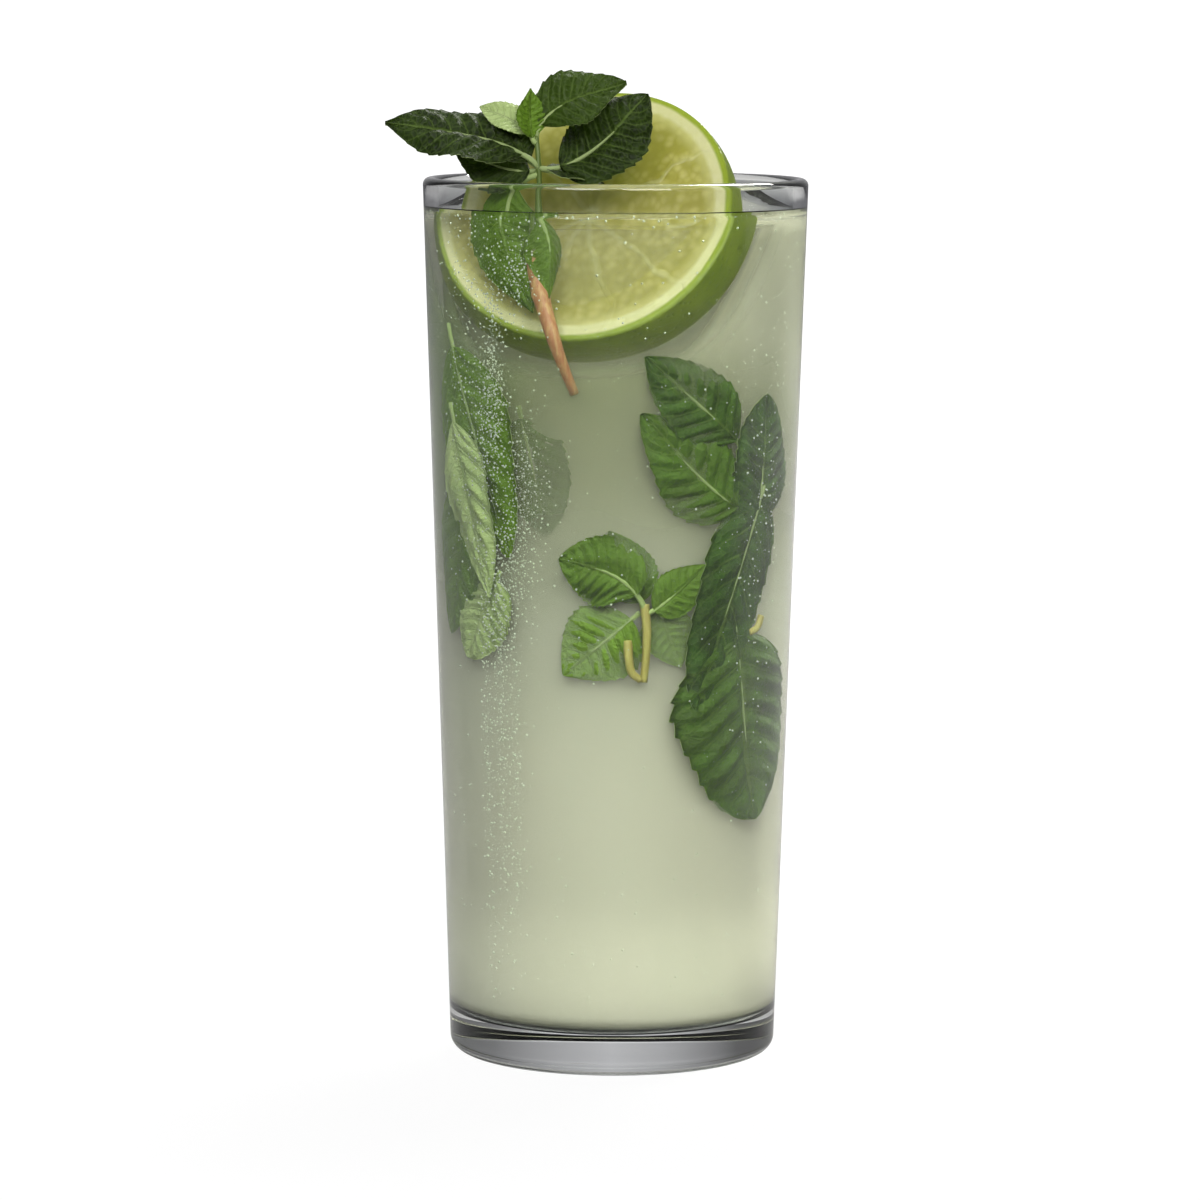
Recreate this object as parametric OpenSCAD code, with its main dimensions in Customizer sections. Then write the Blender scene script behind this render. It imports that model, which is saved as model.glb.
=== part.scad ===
// Mojito in a tall tapered glass, with a lime wheel and a sprig of mint.
// Millimetres. The origin is the middle of the foot, +Z is up, and the front is -Y.

/* [Glass] */
// Height of the glass
glass_h = 152; // [130:1:185]
// Outside diameter at the rim
rim_d = 66.5; // [62:0.5:80]
// Outside diameter at the foot
foot_d = 56.5; // [50:0.5:66]
// Thickness of the side wall
wall_t = 2.4; // [1.8:0.1:3]
// Thickness of the solid bottom
bottom_t = 7; // [5:0.5:12]
// Radius of the rounded edge under the foot
foot_r = 2.5; // [1.5:0.5:6]
// Radius of the corner inside the bottom
well_r = 3; // [2:0.5:8]

/* [Drink] */
// Depth of the drink's surface below the rim
freeboard = 5; // [4:0.5:16]
// Height that the drink climbs at the wall
meniscus = 0.8; // [0.5:0.1:2]

/* [Lime wheel] */
// Diameter of the wheel
lime_d = 48.5; // [38:0.5:58]
// Thickness of the wheel
lime_t = 8.2; // [4:0.5:11]
// Bulge of the rind across the wheel's thickness
rind_bulge = 0.3; // [0:0.1:1]
// Lean of the wheel back from upright, in degrees
lime_lean = 32; // [24:1:45]
// Turn of the wheel's face to the left, in degrees
lime_turn = 20; // [5:1:30]
// Gap between the face's left edge and the wall, straight across
lime_side = 3.9; // [1:0.1:8]
// Height of the face's middle above the drink's surface
lime_rise = -0.7; // [-4:0.1:6]
// Least gap between the wheel and the wall
lime_gap = 0.9; // [0.4:0.1:2]

/* [Mint sprig] */
// Diameter of the stem
stem_d = 2.4; // [1.6:0.1:3]
// Diameter of a leaf's stalk
stalk_d = 1.2; // [0.8:0.1:1.6]
// Thickness of a leaf
leaf_t = 0.5; // [0.4:0.1:0.8]
// Depth of the teeth along a leaf's edge, as a share of its width
tooth = 0.05; // [0:0.01:0.1]
// Length of bare stem below the wheel
stem_tail = 9; // [5:0.5:16]
// Offset of the sprig's lower joint to the left of the middle
sprig_left = 13; // [9:0.5:14]
// Height of the sprig's lower joint above the rim
joint_rise = 2.2; // [0:0.1:4]
// Length of stem between the sprig's lower and upper joints
stem_link = 5.6; // [4:0.2:10]

/* [Fits] */
// Clearance between the drink and what it touches
film = 0.05; // [0.02:0.01:0.1]
// Clearance of the stem to the wheel and the wall
stem_gap = 0.4; // [0.2:0.1:0.6]

/* [Hidden] */
$fn = 96;
arc_steps = 8;
leaf_rows = 12;
leaf_cols = 4;
// Share of a leaf's length that is its stalk
stalk_share = 0.1;

// ---------- Glass ----------

// Slope of the side wall from upright
taper = atan((rim_d - foot_d) / 2 / glass_h);

// Outside and inside radius of the wall at height z
function outer_r(z) = foot_d / 2 + z * tan(taper);
function inner_r(z) = outer_r(z) - wall_t / cos(taper);

// Points of an arc about c, from angle a0 to angle a1
function arc(c, r, a0, a1) =
    [for (i = [0:arc_steps]) let (a = a0 + (a1 - a0) * i / arc_steps) c + r * [cos(a), sin(a)]];

// Middle of a round that touches a level line at height z and the wall line x(z)
function corner(r, x, z) = [x - r / cos(taper), z];

rim_r = wall_t / 2;
rim_c = [inner_r(glass_h - rim_r) + rim_r / cos(taper), glass_h - rim_r];
well_z = bottom_t + well_r;
drink_z = glass_h - freeboard;

// The corner inside the bottom, drawn smaller by clearance g
function well(g) = arc(corner(well_r, inner_r(well_z), well_z), well_r - g, -taper, -90);

module glass() {
    color("#dfe9e6")
    rotate_extrude()
    polygon(concat(
        [[0, 0]],
        arc(corner(foot_r, outer_r(foot_r), foot_r), foot_r, -90, -taper),
        arc(rim_c, rim_r, -taper, 180 - taper),
        well(0),
        [[0, bottom_t]]
    ));
}

// ---------- Lime wheel ----------

// The wheel's own directions: out of its face, across it and up it
face_flat = [-sin(lime_turn), -cos(lime_turn), 0];
face_out = cos(lime_lean) * face_flat + sin(lime_lean) * [0, 0, 1];
face_side = [cos(lime_turn), -sin(lime_turn), 0];
face_up = cos(lime_lean) * [0, 0, 1] - sin(lime_lean) * face_flat;

lime_z = drink_z + lime_rise;
lime_left = inner_r(lime_z) - lime_d / 2 * cos(lime_turn) - lime_side;
pass_room = stem_d + 2 * stem_gap;

// Room that the wheel's edge must leave at angle a, where the stem passes its lowest stretch
function edge_room(a) = (a > 235 && a < 285) ? pass_room : lime_gap;

// Point on the edge of the face, or of the back at depth t, for a face whose middle is at y
function edge_at(y, a, t = 0) =
    [-lime_left, y, lime_z] + lime_d / 2 * (cos(a) * face_side + sin(a) * face_up) - t * face_out;

// Least spare room round the edge of the face, for a face whose middle is at depth y
function spare(y) =
    min([for (t = [0, lime_t], a = [180:5:375])
        let (p = edge_at(y, a, t)) inner_r(p.z) - norm([p.x, p.y]) - (t > 0 ? lime_gap : edge_room(a))]);

// Depth nearest the front at which the wheel still clears the wall
function settle(near, far, n) =
    n == 0 ? far :
    let (mid = (near + far) / 2) spare(mid) < 0 ? settle(mid, far, n - 1) : settle(near, mid, n - 1);

face_c = [-lime_left, settle(-inner_r(lime_z), 0, 14), lime_z];

module lime_wheel(grow = 0) {
    half = lime_t / 2;
    edge = [for (i = [-4:4])
        [lime_d / 2 + rind_bulge * (1 - pow(i / 4, 2)) + grow, i / 4 * (half + grow)]];
    color("#8fb53c")
    translate(face_c - half * face_out)
    rotate([0, 0, -lime_turn])
    rotate([90 - lime_lean, 0, 0])
    rotate_extrude()
    polygon(concat([[0, -half - grow]], edge, [[0, half + grow]]));
}

// ---------- Mint sprig ----------

// Depth of the wheel's face, and of the wall in front of it, at a place
function face_y(x, z) =
    face_c.y - (face_out.x * (x - face_c.x) + face_out.z * (z - face_c.z)) / face_out.y;
function wall_y(x, z) = -sqrt(pow(inner_r(min(z, glass_h)), 2) - x * x);

// A place between the face and the wall: k is 0 at the face and 1 at the wall
function between(x, z, k) = [x, face_y(x, z) + k * (wall_y(x, z) - face_y(x, z)), z];

function unit(v) = v / norm(v);

wheel_low = face_c - lime_d / 2 * face_up;
// Height of the face below its middle
face_drop = face_c.z - wheel_low.z;
pass_x = wheel_low.x - 1.5;
pass_r = inner_r(wheel_low.z) - stem_d / 2 - stem_gap;
joint = between(-sprig_left, glass_h + joint_rise, 0.68);
upper_joint = joint + stem_link * unit([-0.6, 2, 7]);
// Where the stem squeezes past the wheel's lowest edge
stem_pass = [pass_x, -sqrt(pass_r * pass_r - pass_x * pass_x), wheel_low.z];
// Places along the stem, from the top down
stem_stops = [
    upper_joint,
    joint,
    between(joint.x + 0.4, lime_z - 0.15 * face_drop, 0.62),
    between(joint.x + 0.6, lime_z - 0.49 * face_drop, 0.56),
    stem_pass,
    stem_pass + [0.38 * stem_tail, 1.5, -stem_tail],
];

// A smooth curve through the stops, with two steps to each stretch
function stop(i) = stem_stops[max(0, min(i, len(stem_stops) - 1))];
function halfway(i) = (9 * (stop(i) + stop(i + 1)) - stop(i - 1) - stop(i + 2)) / 16;
stem_curve = [for (i = [0:len(stem_stops) - 1]) each i == 0 ? [stop(0)] : [halfway(i - 1), stop(i)]];

module rounded_rod(a, b) {
    hull() {
        translate(a) sphere(d = stem_d, $fn = 12);
        translate(b) sphere(d = stem_d, $fn = 12);
    }
}

// The room that the stem takes below the rim, as true rounds
module stem_room(from, d) {
    for (i = [from:len(stem_curve) - 1]) {
        run = stem_curve[i] - stem_curve[i - 1];
        translate(stem_curve[i - 1])
        rotate([0, acos(run.z / norm(run)), atan2(run.y, run.x)])
        cylinder(h = norm(run), d = d, $fn = 24);
        translate(stem_curve[i]) sphere(d = 1.04 * d, $fn = 24);
    }
}

// Half the width of a leaf, as a share of the widest, at share t of its length
function blade(t) = t < stalk_share ? 0 : sin(180 * pow((t - stalk_share) / (1 - stalk_share), 0.75));

// The part of v that is square to the unit vector n, as a unit vector
function square_to(v, n) = unit(v - (v * n) * n);

// A leaf with its stalk, from where it leaves the stem at a to its tip at b. Its upper side
// looks along face, its middle line bends out by bow, and fold lifts its edges.
module leaf(a, b, w, face, bow, fold, grow = 0) {
    function middle(t) = a + (b - a) * t + bow * sin(180 * pow(max(t, 0), 0.6));
    points = [for (side = [-1, 1], i = [0:leaf_rows], j = [0:leaf_cols])
        let (
            t = i / leaf_rows,
            s = 2 * j / leaf_cols - 1,
            along = unit(middle(t + 0.02) - middle(t - 0.02)),
            out = square_to(face, along),
            teeth = 1 + tooth * (i % 2 == 0 ? -1 : 1),
            h = max(w / 2 * blade(t) * teeth, (1 - t / 2) * stalk_d / 2) + grow
        )
        middle(t) + along * grow * (2 * t - 1) + cross(along, out) * s * h
          + out * (fold * abs(s) * h + side * (leaf_t / 2 + grow))];
    sheet = (leaf_rows + 1) * (leaf_cols + 1);
    function under(i, j) = i * (leaf_cols + 1) + j;
    function over(i, j) = sheet + under(i, j);
    rows = [0:leaf_rows - 1];
    cols = [0:leaf_cols - 1];
    quads = concat(
        [for (i = rows, j = cols) [under(i, j), under(i, j + 1), under(i + 1, j + 1), under(i + 1, j)]],
        [for (i = rows, j = cols) [over(i, j), over(i + 1, j), over(i + 1, j + 1), over(i, j + 1)]],
        [for (i = rows) [under(i, 0), under(i + 1, 0), over(i + 1, 0), over(i, 0)]],
        [for (i = rows, j = leaf_cols) [under(i, j), over(i, j), over(i + 1, j), under(i + 1, j)]],
        [for (j = cols) [under(0, j), over(0, j), over(0, j + 1), under(0, j + 1)]],
        [for (i = leaf_rows, j = cols) [under(i, j), under(i, j + 1), over(i, j + 1), over(i, j)]]
    );
    polyhedron(points, [for (q = quads) each [[q[0], q[1], q[2]], [q[0], q[2], q[3]]]]);
}

// The two leaves that hang down into the drink
module hanging_leaves(grow = 0) {
    leaf(joint + [0, 0, -1], between(joint.x - 0.5, lime_z - 0.76 * face_drop, 0.5), 12,
        [-0.45, -0.88, 0], [-5, 2.4, 0], -0.3, grow);
    leaf(stem_stops[2] + [0, 0, 2], between(joint.x + 2.6, lime_z - 0.66 * face_drop, 0.5), 7,
        [0.3, -0.95, 0], [1.5, 0, 0], 0.2, grow);
}

// The leaves above the drink
module crown_leaves() {
    // Long leaf over the rim on the left
    leaf(joint, joint + [-26, 3, 7.4], 13, [0, -0.62, 0.8], [0, 0, 2.2], 0.1);
    // Small leaf under it
    leaf(joint, joint + [-14.6, 4.6, 3], 9, [0.1, -0.9, 0.35], [0, 0, -1], 0.1);
    // Broad leaf on the right
    leaf(joint, joint + [18.6, 4.8, 12.6], 13.5, [-0.25, -0.9, 0.35], [2.2, 0, -1.2], 0.12);
    // Low leaf on the right, inside the rim
    leaf(joint, joint + [11, 2.5, -2.8], 7, [0, -0.25, 0.95], [0, 0, 0.3], 0.1);
    // Top leaf on the right
    leaf(upper_joint, upper_joint + [15.2, 2, 9.4], 11, [-0.25, -0.8, 0.55], [-1, 0, 2.2], 0.12);
    // Small young leaves at the top
    leaf(upper_joint, upper_joint + [-9.6, 3, 4.8], 6, [0.3, -0.8, 0.5], [0, 0, 0.8], 0.2);
    leaf(upper_joint, upper_joint + [-1, 0.6, 8.2], 5.4, [0.5, -0.9, 0.1], [-0.6, 0, 0], 0.3);
}

module mint_sprig() {
    color("#4d6b2a") {
        for (i = [1:len(stem_curve) - 1])
            rounded_rod(stem_curve[i - 1], stem_curve[i]);
        hanging_leaves();
        crown_leaves();
    }
}

// ---------- Drink ----------

module drink() {
    top_r = inner_r(drink_z + meniscus) - film;
    color("#cfd8b4")
    difference() {
        rotate_extrude()
        polygon(concat(
            [[0, bottom_t + film]],
            [for (i = [arc_steps:-1:0]) well(film)[i]],
            arc([top_r - meniscus, drink_z + meniscus], meniscus, 0, -90),
            [[0, drink_z]]
        ));
        lime_wheel(film);
        stem_room(3, stem_d + 2 * film);
        hanging_leaves(film);
    }
}

glass();
drink();
lime_wheel();
mint_sprig();
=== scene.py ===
"""A mojito in a tall glass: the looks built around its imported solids.

The scene is in metres and the sizes below are in millimetres. The origin is the middle of the
foot, +Z is up and the front is -Y.
"""
import logging
import math
from dataclasses import dataclass, field
from enum import Enum
from typing import Any, Callable

import bpy
import numpy as np
from mathutils import Matrix, Vector


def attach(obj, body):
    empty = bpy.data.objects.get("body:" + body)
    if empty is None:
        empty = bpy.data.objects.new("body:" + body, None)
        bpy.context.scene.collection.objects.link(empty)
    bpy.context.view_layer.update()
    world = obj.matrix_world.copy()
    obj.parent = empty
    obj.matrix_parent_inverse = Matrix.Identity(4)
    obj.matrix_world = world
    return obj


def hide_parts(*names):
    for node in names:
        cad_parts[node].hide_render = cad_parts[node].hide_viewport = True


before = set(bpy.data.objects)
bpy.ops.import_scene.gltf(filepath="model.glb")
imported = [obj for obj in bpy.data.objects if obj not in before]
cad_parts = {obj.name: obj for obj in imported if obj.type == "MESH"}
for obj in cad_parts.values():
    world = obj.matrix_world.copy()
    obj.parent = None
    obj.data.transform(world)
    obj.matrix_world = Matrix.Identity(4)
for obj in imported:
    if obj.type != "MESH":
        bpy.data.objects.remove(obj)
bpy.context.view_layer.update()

Array = np.ndarray
Point = tuple[float, float, float]
Colour = tuple[float, float, float, float]
Outline = list[tuple[float, float]]
Faces = list[tuple[int, ...]]

MM = 0.001
# White of the backdrop, bright enough to print as plain paper
PAPER_WHITE: Colour = (1.12, 1.12, 1.12, 1.0)
log = logging.getLogger("mojito")


def unit(v: Array) -> Array:
    """Return v at length one."""
    return v / np.linalg.norm(v)


def smooth_step(low: float, high: float, x: Array) -> Array:
    """Rise smoothly from 0 at low to 1 at high.

    Args:
        low: Where the rise starts.
        high: Where the rise ends.
        x: Values to ease.

    Returns:
        Eased values from 0 to 1.
    """
    t = np.clip((x - low) / (high - low), 0.0, 1.0)
    return t * t * (3.0 - 2.0 * t)


def tint(red: int, green: int, blue: int) -> Colour:
    """Turn a screen colour of 0 to 255 into the linear colour that shaders take.

    Args:
        red: Red part.
        green: Green part.
        blue: Blue part.

    Returns:
        Linear colour with full alpha.
    """
    parts = [c / 255.0 for c in (red, green, blue)]
    line = [c / 12.92 if c <= 0.04045 else ((c + 0.055) / 1.055) ** 2.4 for c in parts]
    return (line[0], line[1], line[2], 1.0)


# ---------------------------------------------------------------- shader writing


class Wire:
    """A node's output that takes part in sums and products."""

    def __init__(self, bench: "Bench", socket: bpy.types.NodeSocket) -> None:
        """Hold an output socket.

        Args:
            bench: The material being written.
            socket: The output socket.
        """
        self.bench = bench
        self.socket = socket

    def _sum(self, operation: str, *values: Any) -> "Wire":
        """Add one Math node over the values."""
        return self.bench.node("ShaderNodeMath", {"operation": operation}, dict(enumerate(values)))

    def __add__(self, other: Any) -> "Wire":
        """Return self + other."""
        return self._sum("ADD", self, other)

    def __sub__(self, other: Any) -> "Wire":
        """Return self - other."""
        return self._sum("SUBTRACT", self, other)

    def __mul__(self, other: Any) -> "Wire":
        """Return self * other."""
        return self._sum("MULTIPLY", self, other)

    def __truediv__(self, other: Any) -> "Wire":
        """Return self / other."""
        return self._sum("DIVIDE", self, other)

    def __pow__(self, other: Any) -> "Wire":
        """Return self ** other."""
        return self._sum("POWER", self, other)

    def __rsub__(self, other: Any) -> "Wire":
        """Return other - self."""
        return self._sum("SUBTRACT", other, self)

    def __abs__(self) -> "Wire":
        """Return the size of self without its sign."""
        return self._sum("ABSOLUTE", self)

    __radd__ = __add__
    __rmul__ = __mul__

    def fract(self) -> "Wire":
        """Return the part after the point."""
        return self._sum("FRACT", self)

    def ease(self, low: float, high: float) -> "Wire":
        """Rise smoothly from 0 at low to 1 at high."""
        return self.bench.node(
            "ShaderNodeMapRange",
            {"interpolation_type": "SMOOTHSTEP"},
            {"Value": self, "From Min": low, "From Max": high},
        )


class Bench:
    """A material's node tree while it is being written."""

    def __init__(self, name: str, owner: bpy.types.World | None = None) -> None:
        """Start with an empty tree.

        Args:
            name: Name of the material.
            owner: A world to write instead of a new material.
        """
        self.material = owner or bpy.data.materials.new(name)
        self.material.use_nodes = True
        self.tree = self.material.node_tree
        self.tree.nodes.clear()

    def node(
        self,
        kind: str,
        settings: dict[str, Any] | None = None,
        values: dict[Any, Any] | None = None,
        out: int | str = 0,
    ) -> Wire:
        """Add a node, set it up and wire it.

        Args:
            kind: The node's type.
            settings: Its properties, set first. A ramp's stops are under "stops".
            values: Sockets by name or number, each a Wire or a constant.
            out: Which output to return.

        Returns:
            The chosen output.
        """
        made = self.tree.nodes.new(kind)
        for key, value in (settings or {}).items():
            if key == "stops":
                self._stops(made.color_ramp, value)
            else:
                setattr(made, key, value)
        for key, value in (values or {}).items():
            if isinstance(value, Wire):
                self.tree.links.new(value.socket, made.inputs[key])
            elif value is not None:
                made.inputs[key].default_value = value
        return Wire(self, made.outputs[out] if len(made.outputs) else None)

    @staticmethod
    def _stops(ramp: bpy.types.ColorRamp, stops: list[tuple[float, Colour]]) -> None:
        """Fill a colour ramp from (place, colour) pairs."""
        while len(ramp.elements) < len(stops):
            ramp.elements.new(0.5)
        for element, (place, colour) in zip(ramp.elements, stops):
            element.position = place
            element.color = colour

    def spot(self) -> Wire:
        """Return the Object coordinates."""
        return self.node("ShaderNodeTexCoord", out="Object")

    def uv(self, layer: str) -> Wire:
        """Return one of the piece's own UV maps."""
        return self.node("ShaderNodeUVMap", {"uv_map": layer})

    def value(self, name: str) -> Wire:
        """Return one of the piece's own per-point values."""
        return self.node("ShaderNodeAttribute", {"attribute_name": name}, out="Fac")

    def axes(self, vector: Wire) -> tuple[Wire, Wire, Wire]:
        """Split a vector into its three parts."""
        parts = self.node("ShaderNodeSeparateXYZ", {}, {0: vector})
        node = parts.socket.node
        return tuple(Wire(self, node.outputs[i]) for i in range(3))

    def join(self, x: Any, y: Any, z: Any = 0.0) -> Wire:
        """Make a vector from three parts."""
        return self.node("ShaderNodeCombineXYZ", {}, {0: x, 1: y, 2: z})

    def stretch(self, vector: Wire, scale: Point) -> Wire:
        """Scale a vector along each axis."""
        return self.node("ShaderNodeMapping", {}, {"Vector": vector, "Scale": scale})

    def noise(self, vector: Wire, scale: float, detail: float = 3.0, rough: float = 0.5) -> Wire:
        """Return cloudy noise from 0 to 1."""
        sockets = {"Vector": vector, "Scale": scale, "Detail": detail, "Roughness": rough}
        return self.node("ShaderNodeTexNoise", {}, sockets)

    def cells(self, vector: Wire, scale: float, feature: str = "F1") -> Wire:
        """Return the distance in a pattern of cells."""
        return self.node("ShaderNodeTexVoronoi", {"feature": feature}, {"Vector": vector, "Scale": scale})

    def blend(self, share: Any, first: Any, second: Any) -> Wire:
        """Mix two colours by a share from 0 to 1."""
        made = self.tree.nodes.new("ShaderNodeMix")
        made.data_type = "RGBA"
        for key, value in ((0, share), (6, first), (7, second)):
            if isinstance(value, Wire):
                self.tree.links.new(value.socket, made.inputs[key])
            else:
                made.inputs[key].default_value = value
        return Wire(self, made.outputs[2])

    def ramp(self, share: Wire, stops: list[tuple[float, Colour]]) -> Wire:
        """Colour a value by a ramp."""
        return self.node("ShaderNodeValToRGB", {"stops": stops}, {0: share})

    def bump(self, height: Wire, depth: float, strength: float = 1.0) -> Wire:
        """Turn a height into a normal; depth is in metres."""
        return self.node("ShaderNodeBump", {}, {"Height": height, "Distance": depth, "Strength": strength})

    def principled(self, **sockets: Any) -> Wire:
        """Add the main shader; sockets are named with underscores for spaces."""
        named = {key.replace("_", " "): value for key, value in sockets.items()}
        return self.node("ShaderNodeBsdfPrincipled", {}, named)

    def mix(self, share: Any, first: Wire, second: Wire) -> Wire:
        """Mix two shaders by a share from 0 to 1."""
        return self.node("ShaderNodeMixShader", {}, {0: share, 1: first, 2: second})

    def lets_lamps_through(self, shader: Wire) -> Wire:
        """Let lamp light straight through a clear shader."""
        lamp_ray = self.node("ShaderNodeLightPath", out="Is Shadow Ray")
        clear = self.node("ShaderNodeBsdfTransparent", {}, {"Color": (0.96, 0.98, 0.95, 1.0)})
        return self.mix(lamp_ray, shader, clear)

    def finish(self, shader: Wire) -> bpy.types.Material:
        """Wire a shader to the output and return the material."""
        self.node("ShaderNodeOutputMaterial", {}, {"Surface": shader})
        return self.material


# ---------------------------------------------------------------- finishes


@dataclass(frozen=True)
class ClearGlass:
    """Pressed soda glass with faint waves and a grey-green cast."""

    cast: Colour = (0.955, 0.975, 0.965, 1.0)
    ior: float = 1.5
    wave_depth: float = 0.00012

    def make(self) -> bpy.types.Material:
        """Return the finish as a material."""
        b = Bench("clear_glass")
        spot = b.spot()
        waves = b.noise(b.stretch(spot, (1.0, 1.0, 0.35)), 55.0, 1.0)
        smears = b.noise(spot, 190.0, 4.0, 0.6)
        colour = b.blend(waves, self.cast, (0.985, 0.99, 0.98, 1.0))
        glass = b.principled(
            Base_Color=colour,
            Roughness=smears.ease(0.5, 0.9) * 0.05,
            IOR=self.ior,
            Transmission_Weight=1.0,
            Normal=b.bump(waves, self.wave_depth),
        )
        return b.finish(b.lets_lamps_through(glass))


@dataclass(frozen=True)
class Liquid:
    """The clear part of the drink: water, lime juice and syrup."""

    ior: float = 1.34

    def make(self) -> bpy.types.Material:
        """Return the finish as a material."""
        b = Bench("drink_liquid")
        ripple = b.noise(b.spot(), 90.0, 2.0)
        colour = b.blend(ripple, (0.94, 0.965, 0.9, 1.0), (0.965, 0.98, 0.93, 1.0))
        drink = b.principled(
            Base_Color=colour,
            Roughness=ripple.ease(0.3, 0.8) * 0.02,
            IOR=self.ior,
            Transmission_Weight=1.0,
            Normal=b.bump(ripple, 0.00008),
        )
        return b.finish(b.lets_lamps_through(drink))


@dataclass(frozen=True)
class Haze:
    """Juice cloud in the drink, with light and shade painted into its colour: paler and yellower low down
    as painted light, greyer and greener high up as painted shadow under the lime wheel and leaves.
    """

    low: float = 0.010
    high: float = 0.147

    def make(self) -> bpy.types.Material:
        """Return the finish as a material."""
        b = Bench("drink_haze")
        spot = b.spot()
        height = b.axes(spot)[2]
        drift = b.noise(b.stretch(spot, (1.0, 1.0, 0.5)), 45.0, 1.0, 0.55)
        share = (height - self.low) / (self.high - self.low) + (drift - 0.5) * 0.16
        # Painted light and shade by height: a pale painted glow low down, and a darker band high up as
        # painted shadow of the lime wheel and leaves
        body = b.ramp(
            share,
            [
                (0.0, tint(246, 242, 226)),
                (0.3, tint(242, 239, 222)),
                (0.5, tint(224, 224, 206)),
                (0.68, tint(176, 178, 150)),
                (0.78, tint(160, 164, 130)),
                (1.0, tint(180, 178, 156)),
            ],
        )
        # Painted light at the upper right, lighter and greyer there; greener towards the left in a band of
        # heights
        aside = b.axes(spot)[0] + (drift - 0.5) * 0.012
        body = b.blend(aside.ease(0.004, 0.024) * share.ease(0.72, 0.86) * 0.85, body, tint(222, 221, 200))
        green = (1.0 - aside.ease(-0.026, -0.010)) * share.ease(0.46, 0.62) * (1.0 - share.ease(0.9, 1.0))
        body = b.blend(green * 0.75, body, tint(112, 146, 66))
        density = b.value("cloud")
        cover = density * (0.82 + 0.36 * drift)
        matt = b.principled(
            Base_Color=b.blend(drift.ease(0.5, 0.8) * 0.12, body, tint(232, 238, 215)),
            Roughness=0.75,
            Specular_IOR_Level=0.0,
        )
        glow = b.node("ShaderNodeBsdfTranslucent", {}, {"Color": tint(228, 230, 208)})
        cloud = b.mix(0.35, matt, glow)
        clear = b.node("ShaderNodeBsdfTransparent")
        return b.finish(b.mix(cover, clear, cloud))


@dataclass(frozen=True)
class MintLeafFinish:
    """Upper and under side of a mint leaf, with its ribs, cells and sheen."""

    name: str = "mint_leaf"
    dark: Colour = tint(19, 28, 4)
    mid: Colour = tint(40, 57, 10)
    young: Colour = tint(118, 158, 42)
    rib: Colour = tint(120, 146, 66)
    under: Colour = tint(176, 196, 128)

    def make(self) -> bpy.types.Material:
        """Return the finish as a material."""
        b = Bench(self.name)
        across, along, _ = b.axes(b.uv("blade"))
        flat = b.uv("flat")
        side = abs(across * 2.0 - 1.0)
        rank = ((along - LEAF_RANK_SLOPE * side**1.2 - 0.02) / LEAF_RANK).fract()
        near_rib = abs(rank - 0.5) * 2.0
        ribs = near_rib.ease(0.82, 0.97) * (1.0 - side * 0.5)
        spine = 1.0 - side.ease(0.015, 0.07)
        veins = b.node("ShaderNodeMath", {"operation": "MAXIMUM"}, {0: ribs * 0.7, 1: spine})
        net = b.cells(flat, 95.0, "DISTANCE_TO_EDGE")
        mesh = 1.0 - net.ease(0.0, 0.12)
        patch = b.noise(flat, 22.0, 4.0, 0.6)
        grain = b.noise(flat, 260.0, 3.0, 0.6)
        green = b.blend(patch.ease(0.3, 0.72), self.dark, self.mid)
        green = b.blend(b.value("young"), green, self.young)
        green = b.blend(mesh * 0.15, green, self.rib)
        green = b.blend(veins * 0.42, green, self.rib)
        green = b.blend(grain * 0.25, green, self.dark)
        pale = b.blend(veins * 0.7, self.under, tint(190, 205, 146))
        pale = b.blend(patch.ease(0.4, 0.8) * 0.3, pale, tint(112, 140, 66))
        colour = b.blend(b.value("under"), green, pale)
        height = net.ease(0.0, 0.3) * 0.5 + grain * 0.25 - veins * 0.8 + patch * 0.4
        leaf = b.principled(
            Base_Color=colour,
            Roughness=0.4 + 0.28 * patch,
            Specular_IOR_Level=0.22,
            Normal=b.bump(height, 0.00022),
        )
        through = b.node("ShaderNodeBsdfTranslucent", {}, {"Color": tint(150, 180, 30)})
        return b.finish(b.mix(0.2, leaf, through))


@dataclass(frozen=True)
class MintStemFinish:
    """Square mint stem, pinkish brown with pale streaks."""

    bark: Colour = tint(160, 108, 70)
    pale: Colour = tint(196, 172, 112)

    def make(self) -> bpy.types.Material:
        """Return the finish as a material."""
        b = Bench("mint_stem")
        spot = b.spot()
        streak = b.noise(b.stretch(spot, (1.0, 1.0, 0.18)), 1300.0, 3.0, 0.6)
        patch = b.noise(spot, 260.0, 3.0)
        colour = b.blend(streak.ease(0.35, 0.75) * 0.6, self.bark, self.pale)
        colour = b.blend(patch.ease(0.55, 0.8) * 0.5, colour, tint(112, 72, 50))
        colour = b.blend(b.value("green"), colour, tint(84, 104, 40))
        stem = b.principled(
            Base_Color=colour,
            Roughness=0.38 + 0.25 * patch,
            Normal=b.bump(streak, 0.0002),
        )
        return b.finish(stem)


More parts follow.
